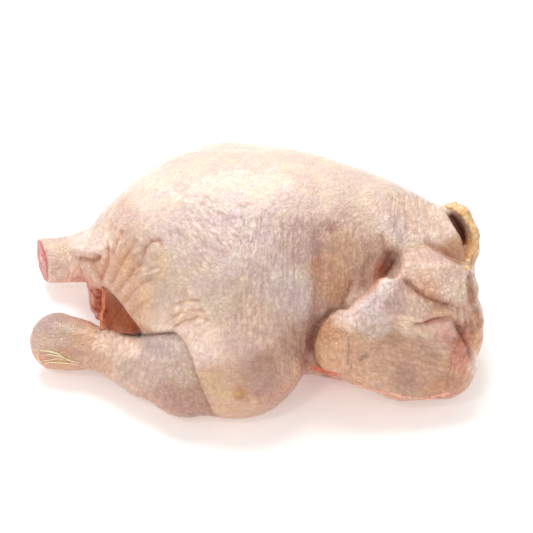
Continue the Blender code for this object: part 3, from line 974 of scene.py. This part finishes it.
class SkinSettings(bpy.types.PropertyGroup):
    mesh_size: FloatProperty(
        name="Mesh size", description="Width of the skin's faces", default=0.00142, min=0.0008,
        precision=5, subtype="DISTANCE", unit="LENGTH",
    )
    pimple_spacing: FloatProperty(
        name="Pimple spacing", description="Distance between the bumps where feathers stood",
        default=0.0026, min=0.001, subtype="DISTANCE", unit="LENGTH",
    )
    dot_spacing: FloatProperty(
        name="Dot spacing", description="Distance between the fine dots at the hocks",
        default=0.00155, min=0.0005, precision=5, subtype="DISTANCE", unit="LENGTH",
    )
    pimple_height: FloatProperty(
        name="Pimple height", description="How far the bumps stand out", default=0.0006, min=0.0,
        precision=5, subtype="DISTANCE", unit="LENGTH",
    )
    wrinkle_height: FloatProperty(
        name="Wrinkle height", description="Depth of the finest wrinkles", default=0.0008, min=0.0,
        precision=5, subtype="DISTANCE", unit="LENGTH",
    )
    fold_depth: FloatProperty(
        name="Fold depth", description="How strong the folds and pleats are", default=1.0, min=0.0,
        max=1.5, subtype="FACTOR",
    )
    translucence: FloatProperty(
        name="Translucence", description="How much light passes under the skin", default=0.15, min=0.0,
        max=1.0, subtype="FACTOR",
    )


class FleshSettings(bpy.types.PropertyGroup):
    fat_colour: FloatVectorProperty(
        name="Fat", description="Colour of the fat at the neck", default=(0.87, 0.66, 0.38), min=0.0,
        max=1.0, subtype="COLOR",
    )
    grain_size: FloatProperty(
        name="Grain size", description="Radius of the larger grains of fat", default=0.0019, min=0.001,
        subtype="DISTANCE", unit="LENGTH",
    )
    seed: IntProperty(name="Seed", description="Changes how the grains lie", default=7, min=0)


class StageSettings(bpy.types.PropertyGroup):
    floor_size: FloatProperty(
        name="Floor size", description="Width of the pale floor", default=8.0, min=1.0,
        subtype="DISTANCE", unit="LENGTH",
    )
    light_power: FloatProperty(
        name="Light power", description="Power of the soft light overhead", default=8.6, min=0.0,
        subtype="POWER", unit="POWER",
    )
    sky_strength: FloatProperty(
        name="Surround light", description="Strength of the even light all round", default=0.6,
        min=0.0, max=3.0,
    )


class CHICKEN_OT_skin(bpy.types.Operator):
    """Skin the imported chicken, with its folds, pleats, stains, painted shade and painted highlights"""

    bl_idname = "chicken.skin"
    bl_label = "Skin"

    def execute(self, context):
        settings = context.scene.chicken_skin
        skin = finer_copy(settings)
        mesh = skin.data
        points, normals = corners_of(mesh)
        edges = np.zeros(len(mesh.edges) * 2, int)
        mesh.edges.foreach_get("vertices", edges)
        edges = edges.reshape(-1, 2)

        seen = seen_from_eye(tree_of(skin), points, normals)
        nearest, second, share, far = shown_at(points, seen)
        looks = looks_at(nearest)
        hidden = np.flatnonzero(~seen)
        looks[hidden] += (looks_at(second[hidden]) - looks[hidden]) * share[hidden, None]
        looks = soothed(edges, looks, np.flatnonzero(~seen & (far > UNSURE_MM)), SOOTHING_ROUNDS)
        wrinkles = grains(np.where(share[:, None] > 0.5, second, nearest))
        even = np.where(seen, 1.0, np.abs(2 * share - 1) ** 0.5)
        wrinkles[:, 2] *= (1.0 - eased(far, *WRINKLE_FADE)) * even

        lift = settings.fold_depth * (looks[:, 0] + pleated(wrinkles)) + unevenness(points)
        off_floor = eased(points[:, 2] / MM, *FLOOR_FADE)
        points = points + normals * (lift * off_floor * MM)[:, None]
        points[:, 2] = np.maximum(points[:, 2], 0.0)
        mesh.vertices.foreach_set("co", points.ravel())
        mesh.update()

        colour = flesh_painted(points, normals, looks[:, 1:4])
        paint = mesh.attributes.new("skin_colour", "FLOAT_COLOR", "POINT")
        paint.data.foreach_set("color", np.concatenate([colour, np.ones((len(colour), 1))], axis=1).ravel())
        stored(mesh, "pimples", looks[:, 4])
        stored(mesh, "fine_dots", looks[:, 5])
        stored(mesh, "wrinkled", wrinkles[:, 2])
        way = mesh.attributes.new("wrinkle_place", "FLOAT_VECTOR", "POINT")
        flat = np.stack([wrinkles[:, 0], wrinkles[:, 1], np.zeros(len(points))], axis=1)
        way.data.foreach_set("vector", flat.ravel())
        dressed(skin, skin_material(settings))
        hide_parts(NODE)
        return {"FINISHED"}


def lumps_along(name, paths, count, radius, spread_mm, seed, flat=0.7, sink=0.35, fine=0.0006):
    """Soft grains joined into one strip along paths in the picture, lying on the skin."""
    draw = random.Random(seed)
    tree = tree_of(skin_piece())
    mesh = bmesh.new()
    for path in paths:
        path = np.array(path, float)
        run = run_along(path)
        for i in range(count):
            point, normal = on_skin(tree, point_on(path, run, run[-1] * (i + 0.5) / count))
            size = radius * draw.uniform(0.6, 1.15)
            shift = Vector([draw.uniform(-1, 1) for _ in range(3)]) * spread_mm * MM
            middle = point + shift - normal * (shift.dot(normal) + sink * size)
            turn = normal.to_track_quat("Z", "Y").to_matrix().to_4x4()
            shape = Matrix.Diagonal((1.0, draw.uniform(0.75, 1.2), flat, 1.0))
            bmesh.ops.create_icosphere(
                mesh, subdivisions=2, radius=size, matrix=Matrix.Translation(middle) @ turn @ shape
            )
    piece = linked(name, mesh)
    applied(piece, "REMESH", mode="VOXEL", voxel_size=fine)
    return smoothed(piece)


class CHICKEN_OT_neck_fat(bpy.types.Operator):
    """Line the far lip of the neck with grains of yellow fat"""

    bl_idname = "chicken.neck_fat"
    bl_label = "Neck fat"

    def execute(self, context):
        settings = context.scene.chicken_flesh
        piece = lumps_along("neck_fat", NECK_LIPS, 34, settings.grain_size, 0.7, settings.seed, sink=0.1)
        fat = tuple(255 * part for part in settings.fat_colour)
        dressed(piece, flesh_material("neck_fat", mixed(fat, FLESH_LOOKS["neck_fat"][1], 0.3)))
        return {"FINISHED"}


class CHICKEN_OT_loose_flesh(bpy.types.Operator):
    """Add the ragged flesh under the forearm, on the tail and between the wing and the thigh"""

    bl_idname = "chicken.loose_flesh"
    bl_label = "Loose flesh"

    def execute(self, context):
        seed = context.scene.chicken_flesh.seed
        for name, (paths, count, radius, spread_mm, step, flat) in LOOSE_FLESH.items():
            piece = lumps_along(name, paths, count, radius, spread_mm, seed + step, flat=flat)
            dressed(piece, flesh_material(name))
        return {"FINISHED"}


def strand(mesh, points, thick, sides=6):
    """A tapered round strand through points, added to a bmesh."""
    rings = []
    for i, point in enumerate(points):
        ahead = points[min(i + 1, len(points) - 1)] - points[max(i - 1, 0)]
        share = i / (len(points) - 1)
        radius = thick * (0.35 + 0.65 * math.sin(math.pi * min(max(share, 0.06), 0.94)))
        turn = ahead.to_track_quat("Z", "Y").to_matrix().to_4x4()
        made = bmesh.ops.create_circle(
            mesh, cap_ends=False, segments=sides, radius=radius, matrix=Matrix.Translation(point) @ turn
        )
        rings.append(made["verts"])
    ends = [set(ring) for ring in (rings[0], rings[-1])]
    loops = [[edge for edge in mesh.edges if all(vert in end for vert in edge.verts)] for end in ends]
    for first, second in zip(rings, rings[1:]):
        for k in range(sides):
            after = (k + 1) % sides
            mesh.faces.new((first[k], first[after], second[after], second[k]))
    for loop in loops:
        bmesh.ops.edgeloop_fill(mesh, edges=loop)


class CHICKEN_OT_tendons(bpy.types.Operator):
    """Lay the yellow tendon strands over the near hock"""

    bl_idname = "chicken.tendons"
    bl_label = "Tendons"

    def execute(self, context):
        tree = tree_of(skin_piece())
        mesh = bmesh.new()
        for number, path in enumerate(TENDONS):
            path = np.array(path, float)
            run = range(len(path))
            points = []
            for at in np.linspace(0, len(path) - 1, TENDON_POINTS):
                point, normal = on_skin(tree, point_on(path, run, at))
                points.append(point + normal * TENDON_LIFT)
            strand(mesh, points, 0.00045 - 0.00005 * (number % 3))
        bmesh.ops.recalc_face_normals(mesh, faces=mesh.faces)
        piece = linked("hock_tendons", mesh)
        dressed(piece, flesh_material("tendons"))
        return {"FINISHED"}


class CHICKEN_OT_hock_bone(bpy.types.Operator):
    """Set the bone in the far hock, where the foot was cut off"""

    bl_idname = "chicken.hock_bone"
    bl_label = "Hock bone"

    def execute(self, context):
        tree = tree_of(skin_piece())
        outward = Vector(CUT_OUTWARD).normalized()
        middle = Vector(CUT_MIDDLE)
        point, _, _, _ = tree.ray_cast(middle + outward * 0.02, -outward)
        if point is None:
            raise RuntimeError("the far hock wasn't found")
        turn = outward.to_track_quat("Z", "Y").to_matrix().to_4x4()
        mesh = bmesh.new()
        for shift, radius in BONE_KNOBS:
            place = Matrix.Translation(point - outward * 0.0022 + Vector(shift)) @ turn
            bmesh.ops.create_icosphere(mesh, subdivisions=3, radius=radius,
                                       matrix=place @ Matrix.Diagonal((1.0, 0.9, 0.62, 1.0)))
        piece = linked("hock_bone", mesh)
        applied(piece, "REMESH", mode="VOXEL", voxel_size=0.0007)
        dressed(piece, flesh_material("cartilage"))
        return {"FINISHED"}


class CHICKEN_OT_vent_skin(bpy.types.Operator):
    """Hang the thin skin between the tail and the near drumstick, at the vent"""

    bl_idname = "chicken.vent_skin"
    bl_label = "Vent skin"

    def execute(self, context):
        tree = tree_of(skin_piece())
        top, _ = on_skin(tree, VENT_SKIN_TOP)
        bottom, _ = on_skin(tree, VENT_SKIN_BOTTOM)
        mesh = bmesh.new()
        rows, columns = 20, 5
        bmesh.ops.create_grid(mesh, x_segments=columns, y_segments=rows, size=0.5)
        for vert in mesh.verts:
            across, down = vert.co.x, 0.5 - vert.co.y
            middle = top.lerp(bottom, down)
            width = 0.0018 + 0.0034 * abs(down - 0.42) ** 1.5
            sway = 0.0011 * math.sin(5.0 * down + 0.6) + 0.0004 * math.sin(17.0 * down)
            sag = 0.0016 * math.sin(math.pi * down)
            fold = 0.0005 * math.sin(9.0 * across + 6.0 * down)
            vert.co = middle + Vector((across * width + sway, fold - sag, 0.0))
        piece = linked("vent_skin", mesh)
        applied(piece, "SOLIDIFY", thickness=0.0007, offset=0.0)
        applied(piece, "SUBSURF", levels=1, render_levels=1)
        mesh = bmesh.new()
        mesh.from_mesh(piece.data)
        bmesh.ops.recalc_face_normals(mesh, faces=mesh.faces)
        mesh.to_mesh(piece.data)
        mesh.free()
        dressed(piece, flesh_material("vent_skin"))
        return {"FINISHED"}


def plain_material(name, colour, rough, glow):
    material = bpy.data.materials.new(name)
    material.use_nodes = True
    shader = material.node_tree.nodes["Principled BSDF"]
    shader.inputs["Base Color"].default_value = (*colour, 1.0)
    shader.inputs["Roughness"].default_value = rough
    shader.inputs["Emission Color"].default_value = (*colour, 1.0)
    shader.inputs["Emission Strength"].default_value = glow
    return material


def softbox(name, place, target, size, power):
    lamp = bpy.data.lights.new(name, "AREA")
    lamp.shape, lamp.size, lamp.energy = "DISK", size, power
    holder = bpy.data.objects.new(name, lamp)
    bpy.context.scene.collection.objects.link(holder)
    holder.location = place
    holder.rotation_euler = (target - Vector(place)).to_track_quat("-Z", "Y").to_euler()


class CHICKEN_OT_stage(bpy.types.Operator):
    """Set the pale floor, the soft lights and the camera"""

    bl_idname = "chicken.stage"
    bl_label = "Stage"

    def execute(self, context):
        settings = context.scene.chicken_stage
        scene = context.scene
        mesh = bmesh.new()
        bmesh.ops.create_grid(mesh, x_segments=1, y_segments=1, size=settings.floor_size / 2)
        floor = linked("floor", mesh)
        floor.data.materials.append(plain_material("floor", FLOOR_COLOUR, 0.6, FLOOR_GLOW))

        world = bpy.data.worlds.new("surround")
        world.use_nodes = True
        backdrop = world.node_tree.nodes["Background"]
        backdrop.inputs["Color"].default_value = (1.0, 0.99, 0.98, 1.0)
        backdrop.inputs["Strength"].default_value = settings.sky_strength
        scene.world = world

        for name, (place, size, share) in LIGHTS.items():
            softbox(name, place, Vector(LIT_POINT), size, share * settings.light_power)
        scene.view_settings.view_transform = "Standard"

        lens = bpy.data.cameras.new("photo_view")
        lens.sensor_width = SENSOR_WIDTH
        lens.lens = SENSOR_WIDTH * PHOTO_FOCAL / PHOTO_PIXELS
        lens.clip_start = 0.01
        camera = bpy.data.objects.new("photo_view", lens)
        scene.collection.objects.link(camera)
        eye, _, _, back = sight_axes()
        camera.location = eye
        camera.rotation_euler = (-back).to_track_quat("-Z", "Y").to_euler()
        scene.camera = camera
        return {"FINISHED"}


class CHICKEN_PT_panel(bpy.types.Panel):
    bl_label = "Whole raw chicken"
    bl_idname = "CHICKEN_PT_panel"
    bl_space_type = "VIEW_3D"
    bl_region_type = "UI"
    bl_category = "Chicken"

    def draw(self, context):
        layout = self.layout
        for name in SETTINGS:
            group = getattr(context.scene, name)
            for key in group.__annotations__:
                layout.prop(group, key)
        for operator in OPERATORS:
            layout.operator(operator.bl_idname)


SETTINGS = {
    "chicken_skin": SkinSettings,
    "chicken_flesh": FleshSettings,
    "chicken_stage": StageSettings,
}
OPERATORS = (
    CHICKEN_OT_skin,
    CHICKEN_OT_neck_fat,
    CHICKEN_OT_loose_flesh,
    CHICKEN_OT_tendons,
    CHICKEN_OT_hock_bone,
    CHICKEN_OT_vent_skin,
    CHICKEN_OT_stage,
)


def register():
    for group in SETTINGS.values():
        bpy.utils.register_class(group)
    for operator in OPERATORS:
        bpy.utils.register_class(operator)
    bpy.utils.register_class(CHICKEN_PT_panel)
    for name, group in SETTINGS.items():
        setattr(bpy.types.Scene, name, PointerProperty(type=group))


def unregister():
    for name in SETTINGS:
        delattr(bpy.types.Scene, name)
    bpy.utils.unregister_class(CHICKEN_PT_panel)
    for operator in reversed(OPERATORS):
        bpy.utils.unregister_class(operator)
    for group in reversed(list(SETTINGS.values())):
        bpy.utils.unregister_class(group)


def main():
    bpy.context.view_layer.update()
    register()
    for operator in OPERATORS:
        group, call = operator.bl_idname.split(".")
        getattr(getattr(bpy.ops, group), call)()


if __name__ == "__main__":
    main()
